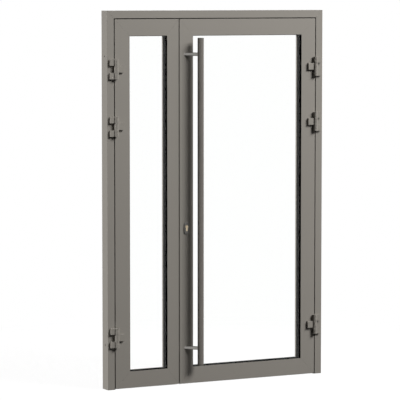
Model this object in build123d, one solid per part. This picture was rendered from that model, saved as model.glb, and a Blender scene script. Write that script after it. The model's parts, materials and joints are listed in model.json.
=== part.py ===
from build123d import *
import math
import os

# Glass double door: a narrow passive leaf and a wide active leaf in their metal frame.
# Millimetres. X to the right, Y from the front face into the door, Z up.
# The origin is at the bottom centre of the frame, midway through its depth.

# Outer frame
frame_width = 1363
frame_height = 2100
depth = 70
frame_face = 42
gap = 5
leaf_bottom = 5

# Rebates, measured from the middle of a gap towards the leaf
flange_thick = 8
seal_room = 5
ledge_reach = 6
stop_reach = 19.5
stop_thick = 14
leaf_body_step = 12
leaf_back_step = 24.5

# Leaves
passive_width = 393.5
hinge_stile = 90
lock_stile = 84
meeting_stile = 72
rail = 92
passive_nose_step = 6
active_nose_step = 2
wall = 2
first_web = 23
cleat_clear = 0.1
leaf_cleat_reach = 115
frame_cleat_reach = 100

# Glazing, from the front face inwards
lip = 4
rebate = 22
pane_bite = 15
gasket = 4
gasket_width = 6
pane = 6
cavity = 20
spacer_width = 12
block_length = 100

# Hinges
hinge_heights = (291, 1463, 1779)
barrel_r = 12.5
pin_r = 5
pin_sides = 12
pin_seat = 30
axis_in = 6
axis_out = 14
knuckle_end = 36
knuckle_middle = 38
knuckle_gap = 0.4
wing_thick = 15
frame_wing = 36
leaf_wing = 47
running = 0.05
seat = 0.02

# Pull handles, one on each side of the active leaf
bar_r = 17.5
bar_low = 111
bar_high = 1948
post_r = 10
post_heights = (208, 1857)
post_side = 60
post_out = 60
foot_from_nose = 41.5
stud_r = 4
stud_sides = 6
stud_hole = 9

# Lock
lock_z = 883
plug_z = lock_z + 8
cylinder_r = 8.5
cylinder_height = 33
cylinder_lobe = 10
cylinder_proud = 8
window_play = 0.5
cover_play = 0.2
plug_r = 6.5
keyway = (2.5, 38, 9)
keyway_drop = 0.5
cam_slot = 10
cam_thick = 9
cam_reach = 12.5
cam_width = 8
cover_size = (30, 66, 6)
case_size = (54, 16, 160)
case_wall = 1.5
faceplate_size = (2, 22, 240)
bolt_size = (46, 11, 31)
bolt_z = 925
bolt_play = 0.5
strike_size = (3, 22, 120)

# Flush bolts of the passive leaf
bolt_side = 9
bolt_from_nose = 20
bolt_length = 190
bolt_back = 0.5
bolt_travel = 20
hole_play = 0.5
plate_size = (3, 22, 140)
plate_from_end = 120
thumb_size = (18, 8, 14)
thumb_slot = (10, 50)
keeper_size = (60, 22, 2)

# Seals and anchors
seal_clear = 0.4
seal_inset = 1
front_seal_tuck = 1.5
meeting_reach = {"passive": 2, "active": 1.4}
meeting_seal_t = (10, 20)
bottom_seal = (6, 4)
bottom_seal_t = 12
anchor_r = 4
access_side = 16
anchor_heights = (250, 1850)
anchor_depth = 34

# Lines worked out from the values above
half = frame_width / 2
gap_x = half - frame_face - gap / 2
gap_z = frame_height - frame_face - gap / 2
hinge_x = gap_x - axis_in
passive_nose = -gap_x + gap / 2 + passive_width
active_nose = passive_nose + gap
passive_body = passive_nose - passive_nose_step
active_body = active_nose + active_nose_step
middle = depth / 2
ledge_front = flange_thick + seal_room
stop_front = depth - stop_thick
body_back = stop_front - seal_room
glass_low = leaf_bottom + rail
glass_high = gap_z - gap / 2 - rail
foot_x = active_nose + foot_from_nose
second_web = body_back - wall - 1
chambers = ((wall, first_web), (first_web + wall, second_web), (second_web + wall, depth - wall))

os.makedirs("parts", exist_ok=True)


def save(shape, name):
    export_step(shape, "parts/" + name + ".step")


def group(solids):
    return Compound(children=list(solids))


def block(x, t, z):
    """A box from pairs: x and z as they are, t as depth behind the front face."""
    size = (abs(x[1] - x[0]), t[1] - t[0], z[1] - z[0])
    corner = Pos(min(x), t[0] - middle, z[0])
    return corner * Box(*size, align=(Align.MIN, Align.MIN, Align.MIN))


def prism(points, t):
    """An outline seen from the front, run through a range of depth."""
    outline = Polyline(*[(x, t[0] - middle, z) for x, z in points], close=True)
    return extrude(make_face(outline), amount=t[1] - t[0], dir=(0, 1, 0))


def rod(x, t, z, radius):
    """A round bar along the one direction that is given as a pair."""
    if isinstance(z, tuple):
        return Pos(x, t - middle, (z[0] + z[1]) / 2) * Cylinder(radius, z[1] - z[0])
    if isinstance(t, tuple):
        place = Pos(x, (t[0] + t[1]) / 2 - middle, z) * Rot(90, 0, 0)
        return place * Cylinder(radius, t[1] - t[0])
    return Pos((x[0] + x[1]) / 2, t - middle, z) * Rot(0, 90, 0) * Cylinder(radius, abs(x[1] - x[0]))


def sided_bar(radius, sides, length):
    """A many-sided bar along Z with flats towards X and Y, for hidden round pieces."""
    return extrude(RegularPolygon(radius, sides, rotation=180 / sides), amount=length / 2, both=True)


def ring(outer, inner, t):
    """A rectangular ring from (x, z) pairs of its outer and inner lines."""
    return block(outer[0], t, outer[1]) - block(inner[0], (t[0] - 1, t[1] + 1), inner[1])


# Outer frame
def frame_opening(reach):
    return (-gap_x + reach, gap_x - reach), (-10, gap_z - reach)


def frame_ring(outer, inner, t):
    """An upside-down U of two jambs and a head between two reaches from the gap's middle."""
    left_right, low_high = frame_opening(outer)
    return ring((left_right, (0, low_high[1])), frame_opening(inner), t)


def frame_profile():
    face_reach = -frame_face - gap / 2
    body = frame_ring(face_reach, -gap / 2, (0, ledge_front))
    body += frame_ring(face_reach, ledge_reach, (ledge_front, stop_front))
    body += frame_ring(face_reach, stop_reach, (stop_front, depth))
    outer = face_reach + wall
    body -= frame_ring(outer, -gap / 2 - wall, (wall, ledge_front - wall))
    body -= frame_ring(outer, ledge_reach - wall, (ledge_front, stop_front - wall))
    body -= frame_ring(outer, stop_reach - wall, (stop_front, depth - wall))
    inside = gap_x - ledge_reach + wall
    access = (anchor_depth - access_side / 2, anchor_depth + access_side / 2)
    for z in anchor_heights:
        for side in (-1, 1):
            body -= rod((side * (half + 1), side * (half - wall - 1)), anchor_depth, z, anchor_r)
        body -= block((-inside, inside), access, (z - access_side / 2, z + access_side / 2))
    return body


def frame_members():
    whole = frame_profile()
    inner = gap_x - stop_reach
    low = gap_z - stop_reach
    mitre = half - inner
    jamb = [(-half, 0), (-inner, 0), (-inner, frame_height - mitre), (-half, frame_height)]
    head = [(-half, frame_height), (-inner, low), (inner, low), (half, frame_height)]
    yield "frame_jamb_left", whole & prism(jamb, (0, depth))
    yield "frame_jamb_right", whole & prism([(-x, z) for x, z in jamb], (0, depth))
    yield "frame_head", whole & prism(head, (0, depth))


def frame_cleats():
    """Angle pieces in the front and back hollows of both top corners."""
    outer = -frame_face - gap / 2 + wall + cleat_clear
    front = (-gap / 2 - wall, (wall, ledge_front - wall))
    back = (stop_reach - wall, (stop_front, depth - wall))
    z = (frame_height - frame_cleat_reach, frame_height)
    solids = []
    for inner, t in (front, back):
        shape = frame_ring(outer, inner - cleat_clear, (t[0] + cleat_clear, t[1] - cleat_clear))
        for side in (-1, 1):
            corner = block((side * (half - frame_cleat_reach), side * half), (0, depth), z)
            solids.append((shape & corner).solid())
    return group(solids)


def frame_seals():
    """The seals on the ledge and on the stop, each just clear of the leaf that presses on it."""
    front_t = (flange_thick + seal_clear, ledge_front)
    back_t = (body_back + seal_clear, stop_front)
    front = frame_ring(-front_seal_tuck, ledge_reach - seal_inset, front_t)
    back = frame_ring(leaf_body_step + seal_inset, stop_reach - seal_inset, back_t)
    return group((front.solid(), back.solid()))


# Leaves
class Leaf:
    """The lines of one leaf. side is -1 for the leaf hinged on the left, 1 for the right."""

    def __init__(self, name, side, nose, nose_body, nose_stile):
        self.name = name
        self.side = side
        self.nose = nose
        self.nose_body = nose_body
        self.hinge_edge = side * (gap_x - gap / 2)
        self.glass = tuple(sorted((self.hinge_edge - side * hinge_stile, nose + side * nose_stile)))
        self.glass_z = (glass_low, glass_high)

    def hinge_line(self, step):
        return self.side * (gap_x - step)

    def layer(self, hinge_step, nose_line, inset=0):
        """The leaf's outer rectangle at one depth, drawn in by a wall's thickness."""
        x = (self.hinge_line(hinge_step + inset), nose_line + self.side * inset)
        return tuple(sorted(x)), (leaf_bottom + inset, gap_z - hinge_step - inset)

    def glass_line(self, grow):
        """The visible glass rectangle, grown on all sides."""
        x = (self.glass[0] - grow, self.glass[1] + grow)
        return x, (self.glass_z[0] - grow, self.glass_z[1] + grow)


passive = Leaf("passive", -1, passive_nose, passive_body, meeting_stile)
active = Leaf("active", 1, active_nose, active_body, lock_stile)


def leaf_profile(leaf):
    layers = ((gap / 2, leaf.nose, (0, flange_thick)),
              (leaf_body_step, leaf.nose_body, (flange_thick, body_back)),
              (leaf_back_step, leaf.nose_body, (body_back, depth)))
    body = Part()
    for step, nose_line, t in layers:
        x, z = leaf.layer(step, nose_line)
        body += block(x, t, z)
    x, z = leaf.glass_line(0)
    body -= block(x, (-1, depth + 1), z)
    x, z = leaf.glass_line(rebate)
    body -= block(x, (lip, depth + 1), z)
    for shape in chamber_rings(leaf, 0):
        body -= shape
    return body


def chamber_rings(leaf, clear):
    """The three hollows that run round the leaf inside its profile."""
    steps = (leaf_body_step, leaf_body_step, leaf_back_step)
    for step, t in zip(steps, chambers):
        outer = leaf.layer(step, leaf.nose_body, wall + clear)
        inner = leaf.glass_line(rebate + wall + clear)
        yield ring(outer, inner, (t[0] + clear, t[1] - clear))


def leaf_members(leaf):
    whole = leaf_profile(leaf)
    (x0, x1), (z0, z1) = leaf.layer(gap / 2, leaf.nose)
    (g0, g1), (h0, h1) = leaf.glass_line(0)
    left = [(x0, z0), (g0, h0), (g0, h1), (x0, z1)]
    right = [(x1, z0), (g1, h0), (g1, h1), (x1, z1)]
    stiles = {-1: (left, right), 1: (right, left)}[leaf.side]
    nose_name = "meeting_stile" if leaf is passive else "lock_stile"
    outlines = {
        "hinge_stile": stiles[0],
        nose_name: stiles[1],
        "top_rail": [(x0, z1), (g0, h1), (g1, h1), (x1, z1)],
        "bottom_rail": [(x0, z0), (g0, h0), (g1, h0), (x1, z0)],
    }
    return {name: whole & prism(points, (0, depth)) for name, points in outlines.items()}


def leaf_cleats(leaf):
    """Angle pieces in the front and back hollows of all four corners."""
    leg = leaf_cleat_reach
    (x0, x1), (z0, z1) = leaf.layer(gap / 2, leaf.nose)
    front, _, back = chamber_rings(leaf, cleat_clear)
    solids = []
    for shape in (front, back):
        for x in ((x0, x0 + leg), (x1 - leg, x1)):
            for z in ((z0, z0 + leg), (z1 - leg, z1)):
                solids.append((shape & block(x, (0, depth), z)).solid())
    return group(solids)


def glazing(leaf):
    """Panes, edge spacer, gaskets, beads and setting blocks of one leaf."""
    outer_pane = lip + gasket
    spacer_front = outer_pane + pane
    inner_pane = spacer_front + cavity
    bead_front = inner_pane + pane + gasket
    edge = leaf.glass_line(pane_bite)
    parts = {
        "glass_outer": block(edge[0], (outer_pane, spacer_front), edge[1]),
        "glass_inner": block(edge[0], (inner_pane, inner_pane + pane), edge[1]),
        "glass_spacer": ring(edge, leaf.glass_line(pane_bite - spacer_width), (spacer_front, inner_pane)),
    }
    gaskets = [ring(leaf.glass_line(gasket_width), leaf.glass_line(0), (t, t + gasket)).solid()
               for t in (lip, bead_front - gasket)]
    parts["glazing_gaskets"] = group(gaskets)
    parts["glazing_beads"] = beads(leaf, bead_front)
    x_middle = sum(leaf.glass) / 2
    reach = (leaf.glass[1] - leaf.glass[0]) / 4
    low = glass_low - rebate
    blocks = [block((x - block_length / 2, x + block_length / 2), (outer_pane, inner_pane + pane),
                    (low, glass_low - pane_bite)) for x in (x_middle - reach, x_middle + reach)]
    parts["setting_blocks"] = group(blocks)
    return parts


def beads(leaf, front):
    """Four hollow glazing beads, the upright pair between the level pair."""
    (x0, x1), (z0, z1) = leaf.glass_line(rebate)
    (g0, g1), (h0, h1) = leaf.glass_line(0)
    t = (front, depth)
    solids = []
    for z in ((z0, h0), (h1, z1)):
        hollow = block((x0 - 1, x1 + 1), (t[0] + wall, t[1] - wall), (z[0] + wall, z[1] - wall))
        solids.append(block((x0, x1), t, z) - hollow)
    for x in ((x0, g0), (g1, x1)):
        hollow = block((x[0] + wall, x[1] - wall), (t[0] + wall, t[1] - wall), (h0 - 1, h1 + 1))
        solids.append(block(x, t, (h0, h1)) - hollow)
    return group(s.solid() for s in solids)


def meeting_seal(leaf):
    """The lip in the gap where the leaves meet. The two lips stop just short of each other."""
    reach = leaf.nose - leaf.side * meeting_reach[leaf.name]
    return block((leaf.nose_body, reach), meeting_seal_t, (leaf_bottom + seal_inset, gap_z - leaf_body_step))


def bottom_strip(leaf):
    """The brush strip under the leaf, just clear of the floor."""
    thick, drop = bottom_seal
    (x0, x1), _ = leaf.layer(leaf_body_step, leaf.nose_body)
    return block((x0, x1), (bottom_seal_t, bottom_seal_t + thick), (leaf_bottom - drop, leaf_bottom))


# Hinges
def knuckle(side, z, wing_x):
    """A barrel with a wing that lies on the face, from s to s along X off the hinge axis."""
    axis_x = side * hinge_x
    x = tuple(axis_x - side * s for s in wing_x)
    return block(x, (-wing_thick, 0), z) + rod(axis_x, -axis_out, z, barrel_r)


def hinge(side, z):
    """Two frame knuckles, the leaf knuckle between them and the pin through all three.
    The pin's flats sit in square sockets in the frame knuckles, so that it cannot turn."""
    low = z - knuckle_middle / 2
    high = z + knuckle_middle / 2
    lower = (low - knuckle_end, low - knuckle_gap)
    upper = (high + knuckle_gap, high + knuckle_end)
    length = knuckle_middle + 2 * pin_seat
    pin = Pos(side * hinge_x, -axis_out - middle, z) * sided_bar(pin_r, pin_sides, length)
    flat = 2 * pin_r * math.cos(math.pi / pin_sides) + 2 * seat
    socket = Pos(side * hinge_x, -axis_out - middle, z) * Box(flat, flat, length + 2 * seat)
    frame_part = [knuckle(side, span, (-frame_wing, 0)) - socket for span in (lower, upper)]
    leaf_part = knuckle(side, (low, high), (0, leaf_wing))
    leaf_part -= rod(side * hinge_x, -axis_out, (low - 1, high + 1), pin_r + running)
    return frame_part, leaf_part, pin


def save_hinges(side, name):
    """Saves one side's hinges, joined by kind, and returns the pins."""
    hinges = [hinge(side, z) for z in hinge_heights]
    save(group(part.solid() for frame_parts, _, _ in hinges for part in frame_parts),
         name + "_hinge_frame_knuckles")
    save(group(leaf_part for _, leaf_part, _ in hinges), name + "_hinge_leaf_knuckles")
    return [pin for _, _, pin in hinges]


# Pull handles
def pull_bar(side):
    """The long round bar. side is -1 in front of the door and 1 behind it."""
    place = Pos(foot_x + post_side, side * (middle + post_out), (bar_low + bar_high) / 2)
    return place * Cylinder(bar_r, bar_high - bar_low)


def handle_posts(side):
    """Two posts that slant from the stile to the middle of the bar and fit round it."""
    posts = []
    slant = side * math.degrees(math.atan2(post_out, post_side))
    t = (-post_out, 0) if side < 0 else (depth, depth + post_out)
    for z in post_heights:
        aim = Rot(0, 0, slant) * Rot(0, 90, 0)
        post = Pos(foot_x, side * middle, z) * aim * Cylinder(post_r, 4 * post_side)
        post &= block((foot_x - post_side, foot_x + post_side), t, (z - 2 * post_r, z + 2 * post_r))
        bar = Pos(foot_x + post_side, side * (middle + post_out), z)
        post -= bar * Cylinder(bar_r + seat, 4 * post_r)
        posts.append(post.solid())
    return posts


def through_studs():
    """Threaded studs through the stile that join the outer and inner posts, drawn six-sided."""
    stud = Rot(90, 0, 0) * sided_bar(stud_r, stud_sides, depth)
    return group(Pos(foot_x, 0, z) * stud for z in post_heights)


# Lock
def cylinder_outline(grow):
    """The keyhole-shaped section of a profile cylinder, round at the top with a narrow lobe."""
    lobe_r = cylinder_lobe / 2 + grow
    low = plug_z + cylinder_r - cylinder_height + cylinder_lobe / 2
    section = Pos(foot_x, plug_z) * Circle(cylinder_r + grow)
    section += Pos(foot_x, (low + plug_z) / 2) * Rectangle(2 * lobe_r, plug_z - low)
    section += Pos(foot_x, low) * Circle(lobe_r)
    return section


def cylinder_bar(t, grow=0):
    """The cylinder's section run through a range of depth."""
    placed = Plane(origin=(0, t[0] - middle, 0), x_dir=(1, 0, 0), z_dir=(0, -1, 0))
    return extrude(placed * cylinder_outline(grow), amount=-(t[1] - t[0]))


def cylinder_window():
    """The square-cornered opening for the cylinder, hidden under its covers."""
    wide = cylinder_r + window_play
    high = cylinder_height / 2 + window_play
    return block((foot_x - wide, foot_x + wide), (-1, depth + 1), (lock_z - high, lock_z + high))


def cylinder_span():
    return -cylinder_proud, depth + cylinder_proud


def cylinder_body():
    body = cylinder_bar(cylinder_span())
    body -= rod(foot_x, (-20, depth + 20), plug_z, plug_r + running)
    slot = Box(4 * cylinder_r, cam_slot, 2 * (cam_reach + 1))
    return body - Pos(foot_x, 0, plug_z) * slot


def cylinder_plug():
    plug = rod(foot_x, cylinder_span(), plug_z, plug_r)
    for end in (-1, 1):
        place = Pos(foot_x, end * (middle + cylinder_proud), plug_z - keyway_drop)
        plug -= place * Box(*keyway)
    cam_t = (middle - cam_thick / 2, middle + cam_thick / 2)
    cam = block((foot_x - cam_width / 2, foot_x + cam_width / 2), cam_t, (plug_z - cam_reach, plug_z))
    cam &= rod(foot_x, cam_t, plug_z, cam_reach)
    return plug + cam


def cover(front):
    """An oval cover round the cylinder."""
    width, height, thick = cover_size
    t = (-thick, 0) if front else (depth, depth + thick)
    placed = Plane(origin=(foot_x, t[0] - middle, lock_z), x_dir=(1, 0, 0), z_dir=(0, -1, 0))
    shape = extrude(placed * SlotOverall(height, width, rotation=90), amount=-thick)
    return shape - cylinder_bar((t[0] - 1, t[1] + 1), cover_play)


def lock_box(size, x0, z, t_middle=middle):
    return block((x0, x0 + size[0]), (t_middle - size[1] / 2, t_middle + size[1] / 2),
                 (z - size[2] / 2, z + size[2] / 2))


def lock_case():
    length, thick, height = case_size
    case = lock_box(case_size, active_body, lock_z)
    inner = (length - 2 * case_wall, thick - 2 * case_wall, height - 2 * case_wall)
    case -= lock_box(inner, active_body + case_wall, lock_z)
    case -= cylinder_window()
    return case - bolt_window(active_body - 1, 5)


def bolt_window(x0, length):
    size = (length, bolt_size[1] + 2 * bolt_play, bolt_size[2] + 2 * bolt_play)
    return lock_box(size, x0, bolt_z)


def dead_bolt():
    return lock_box(bolt_size, active_nose + 0.3, bolt_z)


def faceplate():
    return lock_box(faceplate_size, active_nose, lock_z) - bolt_window(active_nose - 1, 5)


def strike_window(x0, length):
    return lock_box((length, bolt_size[1] + 4, bolt_size[2] + 4), x0, bolt_z)


def strike_plate():
    return lock_box(strike_size, passive_body, bolt_z) - strike_window(passive_body - 1, 6)


# Flush bolts
def square_rod(z, side):
    """A square bar, or the hole for one, on the line of the flush bolts."""
    x = passive_nose - bolt_from_nose
    return block((x - side / 2, x + side / 2), (middle - side / 2, middle + side / 2), z)


def flush_bolt(end, sign):
    """A square bolt with its thumb piece. end is the leaf's edge and sign points out of it."""
    span = tuple(sorted((end - sign * bolt_back, end - sign * (bolt_back + bolt_length))))
    x = passive_nose - bolt_from_nose
    thumb = lock_box(thumb_size, x, end - sign * plate_from_end)
    return square_rod(span, bolt_side) + thumb


def thumb_window(end, sign, x0, length):
    """The slot that the thumb piece travels in, longer on the side it moves to."""
    thumb_z = end - sign * (plate_from_end - bolt_travel / 2)
    return lock_box((length, thumb_slot[0], thumb_slot[1]), x0, thumb_z)


def flush_plate(end, sign):
    plate = lock_box(plate_size, passive_body, end - sign * plate_from_end)
    return plate - thumb_window(end, sign, passive_body - 1, 6)


def keeper():
    """The plate under the head with the hole that the top bolt enters."""
    width, _, thick = keeper_size
    high = gap_z - ledge_reach
    plate = lock_box(keeper_size, passive_nose - bolt_from_nose - width / 2, high - thick / 2)
    return plate - square_rod((high - 10, high + 10), bolt_side + 2)


# Cut-outs for the fittings
def fit_frame(members):
    members["frame_head"] -= square_rod((gap_z - 20, gap_z), bolt_side + 4)
    return members


def fit_passive(members):
    top_end = gap_z - leaf_body_step
    members["top_rail"] -= square_rod((top_end - 20, top_end + 10), bolt_side + 2 * hole_play)
    members["bottom_rail"] -= square_rod((leaf_bottom - 10, leaf_bottom + 20), bolt_side + 2 * hole_play)
    stile = members["meeting_stile"] - strike_window(passive_body - 5, 10)
    stile -= thumb_window(top_end, 1, passive_body - 5, 10)
    members["meeting_stile"] = stile - thumb_window(leaf_bottom, -1, passive_body - 5, 10)
    return members


def fit_active(members):
    stile = members["lock_stile"]
    for z in post_heights:
        stile -= Pos(foot_x, 0, z) * Box(stud_hole, depth + 2, stud_hole)
    stile -= cylinder_window()
    mouth = (case_size[0], case_size[1] + 1, case_size[2] + 2)
    members["lock_stile"] = stile - lock_box(mouth, active_body - 1, lock_z)
    return members


# Everything written out, piece by piece
frame = fit_frame(dict(frame_members()))
for name, shape in frame.items():
    save(shape, name)
save(frame_cleats(), "frame_corner_cleats")
save(frame_seals(), "frame_seals")
save(keeper(), "bolt_keeper")

pins = []
for leaf, fit in ((passive, fit_passive), (active, fit_active)):
    for name, shape in fit(leaf_members(leaf)).items():
        save(shape, leaf.name + "_" + name)
    for name, shape in glazing(leaf).items():
        save(shape, leaf.name + "_" + name)
    save(leaf_cleats(leaf), leaf.name + "_corner_cleats")
    save(meeting_seal(leaf), leaf.name + "_meeting_seal")
    save(bottom_strip(leaf), leaf.name + "_bottom_seal")
    pins += save_hinges(leaf.side, leaf.name)
save(group(pins), "hinge_pins")

for side, name in ((-1, "outer"), (1, "inner")):
    save(pull_bar(side), "handle_bar_" + name)
    save(group(handle_posts(side)), "handle_posts_" + name)
save(through_studs(), "handle_studs")
save(group((cover(True), cover(False))), "cylinder_covers")

save(cylinder_body(), "cylinder_body")
save(cylinder_plug(), "cylinder_plug")
save(lock_case(), "lock_case")
save(faceplate(), "lock_faceplate")
save(dead_bolt(), "dead_bolt")
save(strike_plate(), "strike_plate")

top_end = gap_z - leaf_body_step
save(flush_bolt(top_end, 1), "top_bolt")
save(flush_bolt(leaf_bottom, -1), "bottom_bolt")
save(group((flush_plate(top_end, 1), flush_plate(leaf_bottom, -1))), "flush_bolt_plates")
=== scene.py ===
import bmesh
import bpy
import json
import math
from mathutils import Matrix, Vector


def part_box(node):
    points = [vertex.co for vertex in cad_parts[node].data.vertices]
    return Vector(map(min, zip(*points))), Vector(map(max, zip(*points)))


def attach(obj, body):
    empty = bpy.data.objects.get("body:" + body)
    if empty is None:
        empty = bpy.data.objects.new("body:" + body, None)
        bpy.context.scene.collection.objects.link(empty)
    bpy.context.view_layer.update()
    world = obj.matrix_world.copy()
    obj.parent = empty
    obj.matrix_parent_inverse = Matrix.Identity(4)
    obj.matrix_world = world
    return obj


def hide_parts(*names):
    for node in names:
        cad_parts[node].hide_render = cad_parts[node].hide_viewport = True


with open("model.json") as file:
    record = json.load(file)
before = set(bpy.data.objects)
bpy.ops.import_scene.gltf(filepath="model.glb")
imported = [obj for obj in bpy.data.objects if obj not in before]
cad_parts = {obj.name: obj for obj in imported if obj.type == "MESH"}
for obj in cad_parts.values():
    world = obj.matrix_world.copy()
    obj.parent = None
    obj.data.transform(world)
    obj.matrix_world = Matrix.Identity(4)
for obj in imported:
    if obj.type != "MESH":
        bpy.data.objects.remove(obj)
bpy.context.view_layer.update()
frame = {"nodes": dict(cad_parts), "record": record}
nodes = frame["nodes"]
record = frame["record"]
bodyOfNode = {node: body for body, names in record["behaviour"]["bodies"].items() for node in names}
slotOfNode = {row["node"]: row["material_slot"] for row in record["subparts"]}
leaves = ("passive", "active")
mm = 0.001
print("frame loaded,", len(nodes), "nodes")


# Shader groups that several materials share
def newGroup(name, inputs, outputs):
    tree = bpy.data.node_groups.new(name, "ShaderNodeTree")
    for label, kind, value in inputs:
        socket = tree.interface.new_socket(label, in_out="INPUT", socket_type=kind)
        if value is not None:
            socket.default_value = value
    for label, kind in outputs:
        tree.interface.new_socket(label, in_out="OUTPUT", socket_type=kind)
    return tree, tree.nodes.new("NodeGroupInput"), tree.nodes.new("NodeGroupOutput")


def addNode(tree, kind, **values):
    node = tree.nodes.new(kind)
    for key, value in values.items():
        setattr(node, key, value)
    return node


def mixColor(tree, factor, first, second, blend="MIX"):
    mix = addNode(tree, "ShaderNodeMix", data_type="RGBA", blend_type=blend)
    for socket, value in ((mix.inputs[0], factor), (mix.inputs[6], first), (mix.inputs[7], second)):
        if isinstance(value, bpy.types.NodeSocket):
            tree.links.new(value, socket)
        else:
            socket.default_value = value
    return mix.outputs[2]


def buildToneDrift():  # slow changes of tone and gloss, with a little dust on faces that look up
    tree, inp, out = newGroup("toneDrift", (
        ("Color", "NodeSocketColor", (0.5, 0.5, 0.5, 1)), ("Roughness", "NodeSocketFloat", 0.4),
        ("Scale", "NodeSocketFloat", 6.0), ("Amount", "NodeSocketFloat", 0.06),
        ("Dust", "NodeSocketFloat", 0.1)),
        (("Color", "NodeSocketColor"), ("Roughness", "NodeSocketFloat")))
    coord = addNode(tree, "ShaderNodeTexCoord")
    noise = addNode(tree, "ShaderNodeTexNoise")
    noise.inputs["Detail"].default_value = 5
    noise.inputs["Roughness"].default_value = 0.6
    tree.links.new(coord.outputs["Object"], noise.inputs["Vector"])
    tree.links.new(inp.outputs["Scale"], noise.inputs["Scale"])
    centred = addNode(tree, "ShaderNodeMath", operation="SUBTRACT")
    tree.links.new(noise.outputs["Fac"], centred.inputs[0])
    centred.inputs[1].default_value = 0.5
    swing = addNode(tree, "ShaderNodeMath", operation="MULTIPLY")
    tree.links.new(centred.outputs[0], swing.inputs[0])
    tree.links.new(inp.outputs["Amount"], swing.inputs[1])
    gain = addNode(tree, "ShaderNodeMath", operation="ADD")
    tree.links.new(swing.outputs[0], gain.inputs[0])
    gain.inputs[1].default_value = 1.0
    scaled = addNode(tree, "ShaderNodeVectorMath", operation="SCALE")
    tree.links.new(inp.outputs["Color"], scaled.inputs[0])
    tree.links.new(gain.outputs[0], scaled.inputs["Scale"])
    normal = addNode(tree, "ShaderNodeNewGeometry")
    split = addNode(tree, "ShaderNodeSeparateXYZ")
    tree.links.new(normal.outputs["Normal"], split.inputs[0])
    upward = addNode(tree, "ShaderNodeMath", operation="POWER")
    clipped = addNode(tree, "ShaderNodeMath", operation="MAXIMUM")
    tree.links.new(split.outputs["Z"], clipped.inputs[0])
    clipped.inputs[1].default_value = 0
    tree.links.new(clipped.outputs[0], upward.inputs[0])
    upward.inputs[1].default_value = 3
    dust = addNode(tree, "ShaderNodeMath", operation="MULTIPLY")
    tree.links.new(upward.outputs[0], dust.inputs[0])
    tree.links.new(inp.outputs["Dust"], dust.inputs[1])
    dusty = mixColor(tree, dust.outputs[0], scaled.outputs[0], (0.42, 0.4, 0.37, 1))
    tree.links.new(dusty, out.inputs["Color"])
    rough = addNode(tree, "ShaderNodeMath", operation="ADD", use_clamp=True)
    spread = addNode(tree, "ShaderNodeMath", operation="MULTIPLY")
    tree.links.new(swing.outputs[0], spread.inputs[0])
    spread.inputs[1].default_value = 1.5
    tree.links.new(inp.outputs["Roughness"], rough.inputs[0])
    tree.links.new(spread.outputs[0], rough.inputs[1])
    tree.links.new(rough.outputs[0], out.inputs["Roughness"])
    return tree


def buildPeel():  # the fine orange-peel height of a sprayed or moulded skin
    tree, inp, out = newGroup("peel", (("Scale", "NodeSocketFloat", 700.0),),
                              (("Height", "NodeSocketFloat"),))
    coord = addNode(tree, "ShaderNodeTexCoord")
    noise = addNode(tree, "ShaderNodeTexNoise")
    noise.inputs["Detail"].default_value = 2
    noise.inputs["Roughness"].default_value = 0.45
    tree.links.new(coord.outputs["Object"], noise.inputs["Vector"])
    tree.links.new(inp.outputs["Scale"], noise.inputs["Scale"])
    tree.links.new(noise.outputs["Fac"], out.inputs["Height"])
    return tree


def buildBrushLines():  # fine lines, long along the axis whose stretch is small
    tree, inp, out = newGroup("brushLines", (
        ("Stretch", "NodeSocketVector", (900, 900, 6)), ("Amount", "NodeSocketFloat", 0.1)),
        (("Height", "NodeSocketFloat"), ("Mask", "NodeSocketFloat")))
    coord = addNode(tree, "ShaderNodeTexCoord")
    stretch = addNode(tree, "ShaderNodeVectorMath", operation="MULTIPLY")
    tree.links.new(coord.outputs["Object"], stretch.inputs[0])
    tree.links.new(inp.outputs["Stretch"], stretch.inputs[1])
    noise = addNode(tree, "ShaderNodeTexNoise")
    noise.inputs["Scale"].default_value = 1
    noise.inputs["Detail"].default_value = 3
    noise.inputs["Roughness"].default_value = 0.7
    tree.links.new(stretch.outputs[0], noise.inputs["Vector"])
    tree.links.new(noise.outputs["Fac"], out.inputs["Height"])
    mask = addNode(tree, "ShaderNodeMath", operation="MULTIPLY")
    tree.links.new(noise.outputs["Fac"], mask.inputs[0])
    tree.links.new(inp.outputs["Amount"], mask.inputs[1])
    tree.links.new(mask.outputs[0], out.inputs["Mask"])
    return tree


toneDrift, peel, brushLines = buildToneDrift(), buildPeel(), buildBrushLines()
print("shader groups built")


# Finishes
def useGroup(tree, group, **values):
    node = addNode(tree, "ShaderNodeGroup", node_tree=group)
    for label, value in values.items():
        node.inputs[label].default_value = value
    return node


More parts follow.
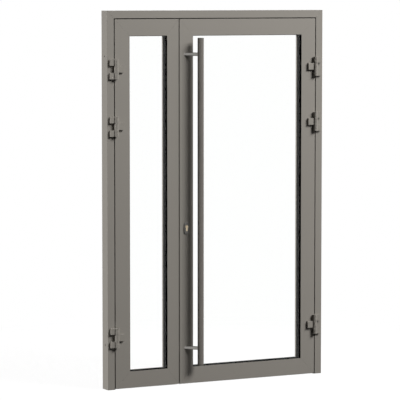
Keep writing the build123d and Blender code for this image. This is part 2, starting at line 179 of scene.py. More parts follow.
def finish(name, color, roughness, metallic=0.0, specular=0.5, drift=0.06, driftScale=5.0, dust=0.08,
           peelScale=None, peelDepth=0.0, brush=None, brushDepth=0.0, brushTone=0.0):
    material = bpy.data.materials.new(name)
    material.use_nodes = True
    tree = material.node_tree
    shader = tree.nodes["Principled BSDF"]
    shader.inputs["Metallic"].default_value = metallic
    shader.inputs["Specular IOR Level"].default_value = specular
    tone = useGroup(tree, toneDrift, Color=(*color, 1), Roughness=roughness, Scale=driftScale, Amount=drift,
                    Dust=dust)
    baseColor = tone.outputs["Color"]
    height, depth = None, 0
    if peelScale:
        height, depth = useGroup(tree, peel, Scale=peelScale).outputs["Height"], peelDepth
    if brush:
        lines = useGroup(tree, brushLines, Stretch=brush, Amount=brushTone)
        darker = tuple(c * 0.55 for c in color)
        baseColor = mixColor(tree, lines.outputs["Mask"], baseColor, (*darker, 1))
        height, depth = lines.outputs["Height"], brushDepth
    if height:
        bump = addNode(tree, "ShaderNodeBump")
        bump.inputs["Strength"].default_value = 1.0
        bump.inputs["Distance"].default_value = depth
        tree.links.new(height, bump.inputs["Height"])
        tree.links.new(bump.outputs["Normal"], shader.inputs["Normal"])
    tree.links.new(baseColor, shader.inputs["Base Color"])
    tree.links.new(tone.outputs["Roughness"], shader.inputs["Roughness"])
    return material


def clearGlass():
    material = bpy.data.materials.new("clearGlass")
    material.use_nodes = True
    tree = material.node_tree
    shader = tree.nodes["Principled BSDF"]
    shader.inputs["Base Color"].default_value = (0.996, 0.999, 0.997, 1)
    shader.inputs["Roughness"].default_value = 0.0
    shader.inputs["IOR"].default_value = 1.3
    shader.inputs["Specular IOR Level"].default_value = 0.05
    shader.inputs["Transmission Weight"].default_value = 1.0
    return material


doorPaint = finish("doorPaint", (0.262, 0.245, 0.219), 0.46, specular=0.1, drift=0.05, driftScale=3.5,
                   dust=0.06, peelScale=850, peelDepth=0.06 * mm)
hingePaint = finish("hingePaint", (0.258, 0.241, 0.214), 0.42, specular=0.12, drift=0.06, driftScale=14,
                    dust=0.05, peelScale=900, peelDepth=0.06 * mm)
barMetal = finish("barMetal", (0.15, 0.136, 0.12), 0.36, metallic=0.35, drift=0.06, driftScale=9, dust=0.0,
                  brush=(1300, 1300, 7), brushDepth=0.03 * mm, brushTone=0.3)
capMetal = finish("capMetal", (0.11, 0.105, 0.09), 0.4, metallic=0.4, drift=0.08, driftScale=30, dust=0.05,
                  brush=(60, 1500, 900), brushDepth=0.03 * mm, brushTone=0.3)
postSteel = finish("postSteel", (0.33, 0.32, 0.3), 0.33, metallic=0.75, drift=0.05, driftScale=20,
                   dust=0.02, brush=(1100, 40, 1100), brushDepth=0.03 * mm, brushTone=0.25)
coverMetal = finish("coverMetal", (0.135, 0.128, 0.12), 0.38, metallic=0.3, drift=0.06, driftScale=30,
                    dust=0.05, peelScale=1300, peelDepth=0.04 * mm)
brass = finish("brass", (0.68, 0.57, 0.4), 0.32, metallic=0.8, drift=0.08, driftScale=60, dust=0.0,
               brush=(1500, 90, 1500), brushDepth=0.02 * mm, brushTone=0.25)
fittingSteel = finish("fittingSteel", (0.5, 0.5, 0.49), 0.32, metallic=0.9, drift=0.06, driftScale=25,
                      dust=0.03, brush=(1400, 1400, 30), brushDepth=0.03 * mm, brushTone=0.25)
screwSteel = finish("screwSteel", (0.42, 0.42, 0.41), 0.3, metallic=0.95, drift=0.08, driftScale=90,
                    dust=0.0, peelScale=2600, peelDepth=0.03 * mm)
rawAluminium = finish("rawAluminium", (0.6, 0.6, 0.61), 0.42, metallic=0.9, drift=0.1, driftScale=18,
                      dust=0.0, brush=(900, 900, 18), brushDepth=0.04 * mm, brushTone=0.25)
rubber = finish("rubber", (0.005, 0.005, 0.005), 0.7, specular=0.0, drift=0.1, driftScale=40, dust=0.0,
                peelScale=1600, peelDepth=0.08 * mm)
spacerBlack = finish("spacerBlack", (0.004, 0.004, 0.004), 0.7, specular=0.0, drift=0.25, driftScale=30,
                     dust=0.0, peelScale=1900, peelDepth=0.06 * mm)
bristleNylon = finish("bristleNylon", (0.02, 0.02, 0.022), 0.55, drift=0.3, driftScale=90, dust=0.05,
                      peelScale=3000, peelDepth=0.03 * mm)
glass = clearGlass()
print("finishes built")

finishOfSlot = {
    "door_paint": doorPaint, "hinge_paint": hingePaint, "clear_glass": glass, "edge_spacer": spacerBlack,
    "seal_rubber": rubber, "raw_aluminium": rawAluminium, "hinge_steel": screwSteel, "bar_metal": barMetal,
    "post_steel": postSteel, "fitting_steel": fittingSteel, "cover_metal": coverMetal, "brass": brass,
}
for name, node in nodes.items():
    node.data.materials.clear()
    node.data.materials.append(finishOfSlot[slotOfNode[name]])


# Mesh helpers
def addPiece(name, mesh, material, body, stands=()):
    piece = bpy.data.objects.new(name, mesh)
    bpy.context.scene.collection.objects.link(piece)
    mesh.materials.clear()
    mesh.materials.append(material)
    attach(piece, body)
    if stands:
        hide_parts(*stands)
    return piece


def bakeModifiers(piece):
    depsgraph = bpy.context.evaluated_depsgraph_get()
    mesh = bpy.data.meshes.new_from_object(piece.evaluated_get(depsgraph))
    name = piece.name
    bpy.data.objects.remove(piece)
    mesh.name = name
    return mesh


def shadeSoft(mesh, angle=32):
    for face in mesh.polygons:
        face.use_smooth = True
    mesh.set_sharp_from_angle(angle=math.radians(angle))


def softCopy(node, width, segments=2, angle=30):
    work = bmesh.new()
    work.from_mesh(nodes[node].data)
    bmesh.ops.remove_doubles(work, verts=work.verts, dist=2e-6)
    bmesh.ops.dissolve_limit(work, angle_limit=math.radians(1), verts=work.verts, edges=work.edges)
    for face in work.faces:
        face.smooth = True
    mesh = bpy.data.meshes.new(node + "Soft")
    work.to_mesh(mesh)
    work.free()
    carrier = bpy.data.objects.new(node + "Soft", mesh)
    bpy.context.scene.collection.objects.link(carrier)
    bevel = carrier.modifiers.new("edges", "BEVEL")
    bevel.width = width
    bevel.segments = segments
    bevel.limit_method = "ANGLE"
    bevel.angle_limit = math.radians(angle)
    bevel.use_clamp_overlap = False
    bevel.miter_outer = "MITER_ARC"
    level = carrier.modifiers.new("normals", "WEIGHTED_NORMAL")
    level.mode = "FACE_AREA"
    level.weight = 100
    level.keep_sharp = False
    return bakeModifiers(carrier)


def softNode(node, width, segments=2, angle=30, material=None):
    slot = slotOfNode[node]
    return addPiece(node + "_soft", softCopy(node, width, segments, angle), material or finishOfSlot[slot],
                    bodyOfNode[node], (node,))


def lathe(profile, x, y, steps=72):
    # profile is (radius, z) from the bottom up, and closes on the axis at both ends
    work = bmesh.new()
    turn = [2 * math.pi * i / steps for i in range(steps)]
    rings = []
    for radius, z in profile:
        if radius == 0:
            rings.append([work.verts.new((x, y, z))])
            continue
        ring = [(x + radius * math.cos(a), y + radius * math.sin(a), z) for a in turn]
        rings.append([work.verts.new(point) for point in ring])
    for low, high in zip(rings, rings[1:]):
        for i in range(steps):
            j = (i + 1) % steps
            corners = [low[i % len(low)], low[j % len(low)], high[j % len(high)], high[i % len(high)]]
            corners = list(dict.fromkeys(corners))
            work.faces.new(corners)
    bmesh.ops.recalc_face_normals(work, faces=work.faces)
    mesh = bpy.data.meshes.new("lathe")
    work.to_mesh(mesh)
    work.free()
    shadeSoft(mesh)
    return mesh


def joinMeshes(name, meshes):
    work = bmesh.new()
    for mesh in meshes:
        work.from_mesh(mesh)
    joined = bpy.data.meshes.new(name)
    work.to_mesh(joined)
    work.free()
    shadeSoft(joined)
    return joined


# Geometry Nodes helpers
def newTree(name, inputs):
    tree = bpy.data.node_groups.new(name, "GeometryNodeTree")
    tree.interface.new_socket("Geometry", in_out="INPUT", socket_type="NodeSocketGeometry")
    sockets = {}
    for label, kind in inputs:
        sockets[label] = tree.interface.new_socket(label, in_out="INPUT", socket_type=kind).identifier
    tree.interface.new_socket("Geometry", in_out="OUTPUT", socket_type="NodeSocketGeometry")
    return tree, tree.nodes.new("NodeGroupInput"), tree.nodes.new("NodeGroupOutput"), sockets


def endTree(tree, inp, out, geometry):
    real = addNode(tree, "GeometryNodeRealizeInstances")
    paint = addNode(tree, "GeometryNodeSetMaterial")
    tree.links.new(geometry, real.inputs[0])
    tree.links.new(real.outputs[0], paint.inputs["Geometry"])
    tree.links.new(inp.outputs["Material"], paint.inputs["Material"])
    tree.links.new(paint.outputs[0], out.inputs[0])


def growMesh(name, tree, sockets, base, **values):
    carrier = bpy.data.objects.new(name, base)
    bpy.context.scene.collection.objects.link(carrier)
    grow = carrier.modifiers.new(name, "NODES")
    grow.node_group = tree
    for label, value in values.items():
        grow[sockets[label]] = value
    mesh = bakeModifiers(carrier)
    shadeSoft(mesh)
    return mesh


def pathMesh(runs):
    # runs of corner points (x, z); a run whose first and last points agree is closed
    points, edges, narrow = [], [], []
    for run in runs:
        closed = run[0] == run[-1]
        run = run[:-1] if closed else run
        first = len(points)
        points += [(x, z, 0) for x, z in run]
        edges += [(first + i, first + i + 1) for i in range(len(run) - 1)]
        if closed:
            edges.append((first + len(run) - 1, first))
        ends = (0, len(run) - 1)
        narrow += [math.sqrt(0.5) if i in ends and not closed else 1.0 for i in range(len(run))]
    mesh = bpy.data.meshes.new("path")
    mesh.from_pydata(points, edges, [])
    mesh.attributes.new("narrow", "FLOAT", "POINT").data.foreach_set("value", narrow)
    return mesh


def buildSweep():  # a rounded strip that follows a path with square, mitred corners
    tree, inp, out, sockets = newTree("sweepStrip", (
        ("Band", "NodeSocketFloat"), ("Thick", "NodeSocketFloat"), ("Round", "NodeSocketFloat"),
        ("Depth", "NodeSocketFloat"), ("Material", "NodeSocketMaterial")))
    curve = addNode(tree, "GeometryNodeMeshToCurve")
    tree.links.new(inp.outputs["Geometry"], curve.inputs["Mesh"])
    upright = addNode(tree, "GeometryNodeSetCurveNormal", mode="Z_UP")
    tree.links.new(curve.outputs[0], upright.inputs["Curve"])
    place = addNode(tree, "GeometryNodeInputPosition")
    keep = addNode(tree, "GeometryNodeCaptureAttribute", domain="POINT")
    keep.capture_items.new("VECTOR", "Centre")
    tree.links.new(upright.outputs[0], keep.inputs["Geometry"])
    tree.links.new(place.outputs[0], keep.inputs["Centre"])
    widen = addNode(tree, "ShaderNodeMath", operation="MULTIPLY")
    tree.links.new(inp.outputs["Band"], widen.inputs[0])
    widen.inputs[1].default_value = math.sqrt(2)
    outline = addNode(tree, "GeometryNodeCurvePrimitiveQuadrilateral", mode="RECTANGLE")
    tree.links.new(widen.outputs[0], outline.inputs["Width"])
    tree.links.new(inp.outputs["Thick"], outline.inputs["Height"])
    fillet = addNode(tree, "GeometryNodeFilletCurve", mode="POLY")
    fillet.inputs["Count"].default_value = 3
    fillet.inputs["Limit Radius"].default_value = True
    tree.links.new(outline.outputs[0], fillet.inputs["Curve"])
    tree.links.new(inp.outputs["Round"], fillet.inputs["Radius"])
    sweep = addNode(tree, "GeometryNodeCurveToMesh")
    sweep.inputs["Fill Caps"].default_value = True
    tree.links.new(keep.outputs["Geometry"], sweep.inputs["Curve"])
    tree.links.new(fillet.outputs[0], sweep.inputs["Profile Curve"])
    narrow = addNode(tree, "GeometryNodeInputNamedAttribute", data_type="FLOAT")
    narrow.inputs["Name"].default_value = "narrow"
    offset = addNode(tree, "ShaderNodeVectorMath", operation="SUBTRACT")
    tree.links.new(place.outputs[0], offset.inputs[0])
    tree.links.new(keep.outputs["Centre"], offset.inputs[1])
    scales = addNode(tree, "ShaderNodeCombineXYZ")
    tree.links.new(narrow.outputs["Attribute"], scales.inputs["X"])
    scales.inputs["Y"].default_value = 1
    scales.inputs["Z"].default_value = 1
    scaled = addNode(tree, "ShaderNodeVectorMath", operation="MULTIPLY_ADD")
    tree.links.new(offset.outputs[0], scaled.inputs[0])
    tree.links.new(scales.outputs[0], scaled.inputs[1])
    tree.links.new(keep.outputs["Centre"], scaled.inputs[2])
    settle = addNode(tree, "GeometryNodeSetPosition")
    tree.links.new(sweep.outputs[0], settle.inputs["Geometry"])
    tree.links.new(scaled.outputs[0], settle.inputs["Position"])
    stand = addNode(tree, "GeometryNodeTransform")
    stand.inputs["Rotation"].default_value = (math.radians(90), 0, 0)
    shift = addNode(tree, "ShaderNodeCombineXYZ")
    tree.links.new(inp.outputs["Depth"], shift.inputs["Y"])
    tree.links.new(settle.outputs[0], stand.inputs["Geometry"])
    tree.links.new(shift.outputs[0], stand.inputs["Translation"])
    endTree(tree, inp, out, stand.outputs[0])
    return tree, sockets


def buildBristles():  # tufts in a row, each with its own length and lean
    tree, inp, out, sockets = newTree("bristleRow", (
        ("Count", "NodeSocketInt"), ("Length", "NodeSocketFloat"), ("Width", "NodeSocketFloat"),
        ("Lean", "NodeSocketFloat"), ("Seed", "NodeSocketInt"), ("Material", "NodeSocketMaterial")))
    curve = addNode(tree, "GeometryNodeMeshToCurve")
    tree.links.new(inp.outputs["Geometry"], curve.inputs["Mesh"])
    spread = addNode(tree, "GeometryNodeResampleCurve", mode="COUNT")
    tree.links.new(curve.outputs[0], spread.inputs["Curve"])
    tree.links.new(inp.outputs["Count"], spread.inputs["Count"])
    tuft = addNode(tree, "GeometryNodeMeshCone")
    tuft.inputs["Vertices"].default_value = 5
    tree.links.new(inp.outputs["Length"], tuft.inputs["Depth"])
    tree.links.new(inp.outputs["Width"], tuft.inputs["Radius Top"])
    tree.links.new(inp.outputs["Width"], tuft.inputs["Radius Bottom"])
    lean = addNode(tree, "FunctionNodeRandomValue", data_type="FLOAT_VECTOR")
    least = addNode(tree, "ShaderNodeMath", operation="MULTIPLY")
    tree.links.new(inp.outputs["Lean"], least.inputs[0])
    least.inputs[1].default_value = -1
    limits = ((least.outputs[0], lean.inputs["Min"]), (inp.outputs["Lean"], lean.inputs["Max"]))
    for limit, socket in limits:
        pair = addNode(tree, "ShaderNodeCombineXYZ")
        tree.links.new(limit, pair.inputs["X"])
        tree.links.new(limit, pair.inputs["Y"])
        tree.links.new(pair.outputs[0], socket)
    tree.links.new(inp.outputs["Seed"], lean.inputs["Seed"])
    size = addNode(tree, "FunctionNodeRandomValue", data_type="FLOAT")
    size.inputs["Min"].default_value = 0.86
    size.inputs["Max"].default_value = 1.0
    tree.links.new(inp.outputs["Seed"], size.inputs["Seed"])
    plant = addNode(tree, "GeometryNodeInstanceOnPoints")
    tree.links.new(spread.outputs[0], plant.inputs["Points"])
    tree.links.new(tuft.outputs["Mesh"], plant.inputs["Instance"])
    tree.links.new(lean.outputs["Value"], plant.inputs["Rotation"])
    tree.links.new(size.outputs["Value"], plant.inputs["Scale"])
    endTree(tree, inp, out, plant.outputs[0])
    return tree, sockets


def buildScrews():  # one screw head on each point, turned to that point's own aim
    tree, inp, out, sockets = newTree("screwSet", (("Head", "NodeSocketObject"), ("Seed", "NodeSocketInt"),
                                                   ("Material", "NodeSocketMaterial")))
    head = addNode(tree, "GeometryNodeObjectInfo")
    tree.links.new(inp.outputs["Head"], head.inputs["Object"])
    aim = addNode(tree, "GeometryNodeInputNamedAttribute", data_type="FLOAT_VECTOR")
    aim.inputs["Name"].default_value = "aim"
    spin = addNode(tree, "FunctionNodeRandomValue", data_type="FLOAT")
    spin.inputs["Min"].default_value = 0
    spin.inputs["Max"].default_value = math.pi / 3
    tree.links.new(inp.outputs["Seed"], spin.inputs["Seed"])
    twist = addNode(tree, "ShaderNodeCombineXYZ")
    tree.links.new(spin.outputs["Value"], twist.inputs["Z"])
    turn = addNode(tree, "FunctionNodeAlignRotationToVector", axis="Z")
    tree.links.new(aim.outputs["Attribute"], turn.inputs["Vector"])
    both = addNode(tree, "FunctionNodeRotateRotation", rotation_space="LOCAL")
    tree.links.new(turn.outputs[0], both.inputs[0])
    tree.links.new(twist.outputs[0], both.inputs[1])
    plant = addNode(tree, "GeometryNodeInstanceOnPoints")
    tree.links.new(inp.outputs["Geometry"], plant.inputs["Points"])
    tree.links.new(head.outputs["Geometry"], plant.inputs["Instance"])
    tree.links.new(both.outputs[0], plant.inputs["Rotation"])
    endTree(tree, inp, out, plant.outputs[0])
    return tree, sockets


print("node tree builders ready")


# Profiles of the frame and of both leaves, with softened edges
profiles = {
    "edgeRadius": 0.6 * mm,
    "members": (
        "frame_jamb_left", "frame_jamb_right", "frame_head",
        "passive_hinge_stile", "passive_meeting_stile", "passive_top_rail", "passive_bottom_rail",
        "active_hinge_stile", "active_lock_stile", "active_top_rail", "active_bottom_rail"),
}
for name in profiles["members"]:
    softNode(name, profiles["edgeRadius"])
for leaf in leaves:
    softNode(leaf + "_glazing_beads", profiles["edgeRadius"], segments=1)
print("profiles softened")

# Hinges
hinges = {"edgeRadius": 0.8 * mm}
for leaf in leaves:
    softNode(leaf + "_hinge_frame_knuckles", hinges["edgeRadius"])
    softNode(leaf + "_hinge_leaf_knuckles", hinges["edgeRadius"])
print("hinges softened")

# Pull bars with their end caps, and the posts
bars = {
    "capHeight": 7 * mm, "groove": 0.5 * mm, "grooveWidth": 0.6 * mm, "rim": 1.4 * mm, "rimSteps": 5,
    "postEdgeRadius": 0.5 * mm,
}


def barMesh(node):
    low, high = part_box(node)
    radius = (high[0] - low[0]) / 2
    x, y = (low[0] + high[0]) / 2, (low[1] + high[1]) / 2
    rim, groove, half = bars["rim"], bars["groove"], bars["grooveWidth"] / 2
    bottom, top = low[2] + bars["capHeight"], high[2] - bars["capHeight"]
    profile = [(0, bottom - half), (radius - groove, bottom - half), (radius, bottom + half),
               (radius, top - half), (radius - groove, top + half), (0, top + half)]
    quarter = [math.pi / 2 * i / bars["rimSteps"] for i in range(bars["rimSteps"] + 1)]
    caps = []
    for end, seam, sign in ((low[2], bottom - half, 1), (high[2], top + half, -1)):
        edge = [(radius - rim + rim * math.sin(a), end + sign * (rim - rim * math.cos(a))) for a in quarter]
        cap = [(0, end), *edge, (radius, seam - sign * groove), (radius - groove, seam), (0, seam)]
        caps.append(lathe(cap, x, y))
    return lathe(profile, x, y), joinMeshes(node + "Caps", caps)


for side in ("outer", "inner"):
    node = "handle_bar_" + side
    tube, caps = barMesh(node)
    addPiece(node + "_tube", tube, barMetal, "active_leaf", (node,))
    addPiece(node + "_caps", caps, capMetal, "active_leaf", ())
    softNode("handle_posts_" + side, bars["postEdgeRadius"])
print("pull bars built")

# Lock and bolts: how far each part's edges are rounded
lockEdges = {
    "cylinder_covers": 2.0 * mm, "cylinder_body": 0.4 * mm, "cylinder_plug": 0.3 * mm,
    "lock_faceplate": 0.4 * mm, "strike_plate": 0.4 * mm, "flush_bolt_plates": 0.4 * mm,
    "dead_bolt": 0.6 * mm, "top_bolt": 0.5 * mm, "bottom_bolt": 0.5 * mm,
}
for node, radius in lockEdges.items():
    softNode(node, radius, segments=3 if node == "cylinder_covers" else 2)
print("lock built")

# Screws in the plates
screws = {
    "headRadius": 3.6 * mm, "headRise": 0.7 * mm, "socketRadius": 1.7 * mm, "socketDepth": 0.55 * mm,
    "sunk": 0.15 * mm, "fromEnd": 12 * mm, "steps": 24, "flushPlate": 140 * mm,
}


def screwHead():  # a low domed head with a hexagon socket
    rise, outer, inner, steps = (screws[key] for key in ("headRise", "headRadius", "socketRadius", "steps"))
    work = bmesh.new()
    turn = [2 * math.pi * i / steps for i in range(steps)]
    side = steps // 6
    rings = []
    dome = ((outer, 0), (outer * 0.97, rise * 0.35), (outer * 0.8, rise * 0.85), (inner * 1.25, rise))
    for radius, z in dome:
        rings.append([work.verts.new((radius * math.cos(a), radius * math.sin(a), z)) for a in turn])
    for z in (rise, rise - screws["socketDepth"]):
        ring = []
        for i, a in enumerate(turn):
            offMiddle = (i % side) / side * math.pi / 3 - math.pi / 6
            radius = inner * math.cos(math.pi / 6) / math.cos(offMiddle)
            ring.append(work.verts.new((radius * math.cos(a), radius * math.sin(a), z)))
        rings.append(ring)
    for low, high in zip(rings, rings[1:]):
        for i in range(steps):
            j = (i + 1) % steps
            work.faces.new((low[i], low[j], high[j], high[i]))
    work.faces.new(rings[-1])
    mesh = bpy.data.meshes.new("screwHead")
    work.to_mesh(mesh)
    work.free()
    return bpy.data.objects.new("screwHead", mesh)


def screwPoints(points, aim):
    mesh = bpy.data.meshes.new("screwPoints")
    mesh.from_pydata(points, [], [])
    aims = mesh.attributes.new("aim", "FLOAT_VECTOR", "POINT")
    aims.data.foreach_set("vector", aim * len(points))
    return mesh


def screwSpots():  # for each plate its body, the screws' places and the way their heads look
    sunk, fromEnd, flushPlate = screws["sunk"], screws["fromEnd"], screws["flushPlate"]
    low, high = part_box("lock_faceplate")
    ends = (low[2] + fromEnd, high[2] - fromEnd)
    yield "lock_faceplate", "active_leaf", [(low[0] + sunk, 0, z) for z in ends], (-1, 0, 0)
    low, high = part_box("strike_plate")
    ends = (low[2] + fromEnd, high[2] - fromEnd)
    yield "strike_plate", "passive_leaf", [(high[0] - sunk, 0, z) for z in ends], (1, 0, 0)
    low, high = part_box("flush_bolt_plates")
    ends = (low[2] + fromEnd, low[2] + flushPlate - fromEnd,
            high[2] - flushPlate + fromEnd, high[2] - fromEnd)
    yield "flush_bolt_plates", "passive_leaf", [(high[0] - sunk, 0, z) for z in ends], (1, 0, 0)
    low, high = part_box("bolt_keeper")
    ends = (low[0] + fromEnd, high[0] - fromEnd)
    yield "bolt_keeper", "door_frame", [(x, 0, low[2] + sunk) for x in ends], (0, 0, -1)


head = screwHead()
screwTree, screwSockets = buildScrews()
for seed, (node, body, points, aim) in enumerate(screwSpots()):
    mesh = growMesh(node + "Screws", screwTree, screwSockets, screwPoints(points, aim), Head=head,
                    Seed=seed, Material=screwSteel)
    addPiece(node + "_screws", mesh, screwSteel, body)
bpy.data.objects.remove(head)
print("screws built")

# Seals, gaskets, edge spacers and brushes
seals = {
    "edgeRadius": 1.0 * mm,
    "gasketBand": 6 * mm, "gasketThick": 4 * mm, "gasketRound": 1.1 * mm,
    # the black lips are partly real gasket lips and partly painted shade, lengthened so that they darken
    # the glazing reveals
    "lipAndShadeBand": 0.9 * mm, "lipAndShadeThick": 15 * mm, "frontLipAndShade": 7.2 * mm, "lipAndShadeRound": 0.35 * mm,
    # sizes of the black strip in the gap round the leaves: painted shade standing in for the gap's shade
    "gapShadeBand": 3 * mm, "gapShadeThick": 7 * mm, "gapShadeRound": 0.8 * mm,
    "spacerBand": 17.5 * mm, "spacerRound": 0.4 * mm,
    "brushHolder": 1.6 * mm, "holderRound": 0.4 * mm, "tuftInHolder": 0.3 * mm, "tuftOffFloor": 0.1 * mm,
    "tuftPitch": 2.1 * mm, "tuftWidth": 0.45 * mm, "tuftRows": (-1.1 * mm, 0, 1.1 * mm), "tuftLean": 0.06,
}
sweepTree, sweepSockets = buildSweep()
bristleTree, bristleSockets = buildBristles()


def sweep(name, runs, band, thick, roundness, depth, material):
    return growMesh(name, sweepTree, sweepSockets, pathMesh(runs), Band=band, Thick=thick, Round=roundness,
                    Depth=depth, Material=material)


def frameRun(low, high, inset, closed=True):
    # corner points of the box's outline seen from the front, drawn in by inset
    x0, x1, z0, z1 = low[0] + inset, high[0] - inset, low[2], high[2] - inset
    if not closed:
        return [(x0, z0), (x0, z1), (x1, z1), (x1, z0)]
    z0 += inset
    return [(x0, z0), (x0, z1), (x1, z1), (x1, z0), (x0, z0)]


def buildFrameSealsAndGapShade():  # the frame's own seals, and a black rubber strip in the gap round the leaves that stands in for the gap's shade as painted shade
    softNode("frame_seals", seals["edgeRadius"])
    low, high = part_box("frame_seals")
    # this black strip lines the gap in front of the seals; it is painted shade, darkening the gap where its
    # shade falls
    band, thick = seals["gapShadeBand"], seals["gapShadeThick"]
    gapShade = sweep("frame_seals_lip", [frameRun(low, high, band / 2, closed=False)], band, thick,
                seals["gapShadeRound"], low[1] - thick / 2, rubber)
    addPiece("frame_seals_lip", gapShade, rubber, "door_frame", ())


def buildGaskets(leaf):
    node = leaf + "_glazing_gaskets"
    low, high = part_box(node)
    band, thick = seals["gasketBand"], seals["gasketThick"]
    rings = []
    for depth in (low[1] + thick / 2, high[1] - thick / 2):
        rings.append(sweep(node, [frameRun(low, high, band / 2)], band, thick, seals["gasketRound"], depth,
                           rubber))
    # thin black lips along the sight line: real gasket lips, lengthened past the gaskets so that their
    # black also stands in for the reveal's shade as painted shade
    sight = band + seals["lipAndShadeBand"] / 2
    beadLipAndShade = high[1] + seals["lipAndShadeThick"] / 2 - thick
    frontLipAndShade = low[1] + thick - seals["frontLipAndShade"] / 2
    for lipAndShadeThick, depth in ((seals["lipAndShadeThick"], beadLipAndShade), (seals["frontLipAndShade"], frontLipAndShade)):
        rings.append(sweep(node, [frameRun(low, high, sight)], seals["lipAndShadeBand"], lipAndShadeThick,
                           seals["lipAndShadeRound"], depth, rubber))
    addPiece(node + "_swept", joinMeshes(node, rings), rubber, leaf + "_leaf", (node,))


def buildSpacer(leaf):
    node = leaf + "_glass_spacer"
    low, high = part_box(node)
    band = seals["spacerBand"]
    mesh = sweep(node, [frameRun(low, high, band / 2)], band, high[1] - low[1], seals["spacerRound"],
                 (low[1] + high[1]) / 2, spacerBlack)
    addPiece(node + "_swept", mesh, spacerBlack, leaf + "_leaf", (node,))


def buildBottomSeal(leaf):  # a holder along the leaf's underside, with rows of bristle tufts
    node = leaf + "_bottom_seal"
    low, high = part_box(node)
    middle = (low[1] + high[1]) / 2
    holderHeight = seals["brushHolder"]
    top = high[2] - holderHeight / 2
    holder = sweep(node, [[(low[0], top), (high[0], top)]], holderHeight / math.sqrt(0.5), high[1] - low[1],
                   seals["holderRound"], middle, fittingSteel)
    first, last, foot = low[0] + holderHeight, high[0] - holderHeight, low[2] + seals["tuftOffFloor"]
    length = high[2] - low[2] - holderHeight + seals["tuftInHolder"]
    count = int((last - first) / seals["tuftPitch"])
    rows = []
    for seed, offset in enumerate(seals["tuftRows"]):
        line = bpy.data.meshes.new("row")
        line.from_pydata([(first, middle + offset, foot), (last, middle + offset, foot)], [(0, 1)], [])
        rows.append(growMesh(node, bristleTree, bristleSockets, line, Count=count, Length=length,
                             Width=seals["tuftWidth"], Lean=seals["tuftLean"], Seed=seed,
                             Material=bristleNylon))
    addPiece(node + "_holder", holder, fittingSteel, leaf + "_leaf", (node,))
    addPiece(node + "_bristles", joinMeshes(node, rows), bristleNylon, leaf + "_leaf", ())


buildFrameSealsAndGapShade()
for leaf in leaves:
    softNode(leaf + "_meeting_seal", seals["edgeRadius"])
    buildGaskets(leaf)
    buildSpacer(leaf)
    buildBottomSeal(leaf)
print("seals built")

# Studio
studio = {
    "ambient": 0.012, "white": 1.0, "floorReach": 60, "floorDim": 0.06, "floorFaint": 0.09,
    "floorGlow": 0.955, "shadeFrom": 0.9, "shadeTo": 2.6, "lampAim": (0, 0, 1.2), "sunAim": (0, 0, 1),
    "photoWidth": 400, "focalPixels": 2435.353, "sensorWidth": 36, "cameraReach": 200,
    "cameraPlace": (-6.35615, -12.1514, 2.18343), "cameraDip": 4.80312, "cameraTurn": 27.27973,
}


def whiteWhereSeen(tree, unseen, seen, output):
    # what the camera, reflections and glass see is one shader, and what lights the door is the other
    path = addNode(tree, "ShaderNodeLightPath")
    mirrored = addNode(tree, "ShaderNodeMath", operation="ADD", use_clamp=True)
    tree.links.new(path.outputs["Is Glossy Ray"], mirrored.inputs[0])
    tree.links.new(path.outputs["Is Transmission Ray"], mirrored.inputs[1])
    watched = addNode(tree, "ShaderNodeMath", operation="ADD", use_clamp=True)
    tree.links.new(path.outputs["Is Camera Ray"], watched.inputs[0])
    tree.links.new(mirrored.outputs[0], watched.inputs[1])
    mixShaders(tree, watched.outputs[0], unseen, seen, addNode(tree, output).inputs["Surface"])


def mixShaders(tree, factor, first, second, socket):
    mix = addNode(tree, "ShaderNodeMixShader")
    for source, target in ((factor, mix.inputs[0]), (first, mix.inputs[1]), (second, mix.inputs[2])):
        tree.links.new(source, target)
    tree.links.new(mix.outputs[0], socket)


def plainShader(tree, kind, **values):
    node = addNode(tree, kind)
    for label, value in values.items():
        node.inputs[label].default_value = value
    return node.outputs[0]


def grey(value):
    return (value, value, value, 1)


def buildWorld():
    world = bpy.data.worlds.new("studio")
    bpy.context.scene.world = world
    world.use_nodes = True
    tree = world.node_tree
    tree.nodes.clear()
    sky = (0.98, 0.99, 1, 1)
    ambient = plainShader(tree, "ShaderNodeBackground", Color=sky, Strength=studio["ambient"])
    white = plainShader(tree, "ShaderNodeBackground", Color=grey(1), Strength=studio["white"])
    whiteWhereSeen(tree, ambient, white, "ShaderNodeOutputWorld")


def addLamp(name, kind, energy, place, aim, **values):
    data = bpy.data.lights.new(name, kind)
    data.energy = energy
    for key, value in values.items():
        setattr(data, key, value)
    lamp = bpy.data.objects.new(name, data)
    lamp.location = place
    lamp.rotation_euler = (Vector(aim) - Vector(place)).to_track_quat("-Z", "Y").to_euler()
    bpy.context.scene.collection.objects.link(lamp)


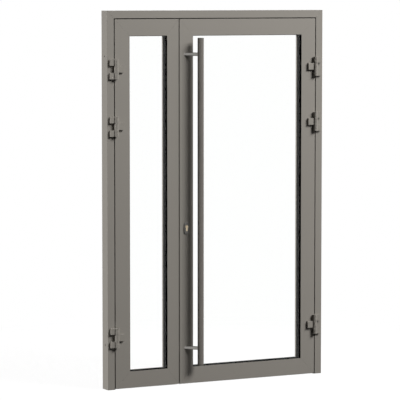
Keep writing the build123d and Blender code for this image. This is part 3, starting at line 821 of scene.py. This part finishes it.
def buildFloor():  # white to the camera, with the door's shadow near the door
    mesh = bpy.data.meshes.new("floor")
    reach = studio["floorReach"]
    corners = [(-reach, -reach, 0), (reach, -reach, 0), (reach, reach, 0), (-reach, reach, 0)]
    mesh.from_pydata(corners, [], [(0, 1, 2, 3)])
    floor = bpy.data.objects.new("floor", mesh)
    bpy.context.scene.collection.objects.link(floor)
    material = bpy.data.materials.new("floorWhite")
    material.use_nodes = True
    tree = material.node_tree
    tree.nodes.clear()
    dim = plainShader(tree, "ShaderNodeBsdfDiffuse", Color=grey(studio["floorDim"]))
    lit = addNode(tree, "ShaderNodeAddShader")
    faint = plainShader(tree, "ShaderNodeBsdfDiffuse", Color=grey(studio["floorFaint"]))
    tree.links.new(faint, lit.inputs[0])
    tree.links.new(plainShader(tree, "ShaderNodeEmission", Strength=studio["floorGlow"]), lit.inputs[1])
    coord = addNode(tree, "ShaderNodeTexCoord")
    distance = addNode(tree, "ShaderNodeVectorMath", operation="LENGTH")
    tree.links.new(coord.outputs["Object"], distance.inputs[0])
    fade = addNode(tree, "ShaderNodeMapRange", interpolation_type="SMOOTHSTEP")
    fade.inputs["From Min"].default_value = studio["shadeFrom"]
    fade.inputs["From Max"].default_value = studio["shadeTo"]
    tree.links.new(distance.outputs["Value"], fade.inputs["Value"])
    ground = addNode(tree, "ShaderNodeMixShader")
    tree.links.new(fade.outputs["Result"], ground.inputs[0])
    tree.links.new(lit.outputs[0], ground.inputs[1])
    tree.links.new(plainShader(tree, "ShaderNodeEmission", Strength=studio["white"]), ground.inputs[2])
    whiteWhereSeen(tree, dim, ground.outputs[0], "ShaderNodeOutputMaterial")
    mesh.materials.append(material)


def buildCamera():  # the place, aim and lens that were fitted to the photo's edges
    data = bpy.data.cameras.new("photoView")
    data.sensor_width = studio["sensorWidth"]
    data.lens = studio["focalPixels"] / studio["photoWidth"] * studio["sensorWidth"]
    data.clip_end = studio["cameraReach"]
    camera = bpy.data.objects.new("photoView", data)
    camera.location = studio["cameraPlace"]
    camera.rotation_euler = (math.radians(90 - studio["cameraDip"]), 0, math.radians(-studio["cameraTurn"]))
    bpy.context.scene.collection.objects.link(camera)
    bpy.context.scene.camera = camera


buildWorld()
buildFloor()
buildCamera()
addLamp("key", "AREA", 930, (4.3, -6.98, 7.3), studio["lampAim"], shape="DISK", size=4.0)
addLamp("fill", "AREA", 400, (5.95, -5.75, 6.6), studio["lampAim"], shape="DISK", size=4.4)
addLamp("left", "SUN", 3.1, (-4, 0.62, 2), studio["sunAim"], angle=math.radians(4))
bpy.context.scene.view_settings.view_transform = "Standard"
print("studio built")
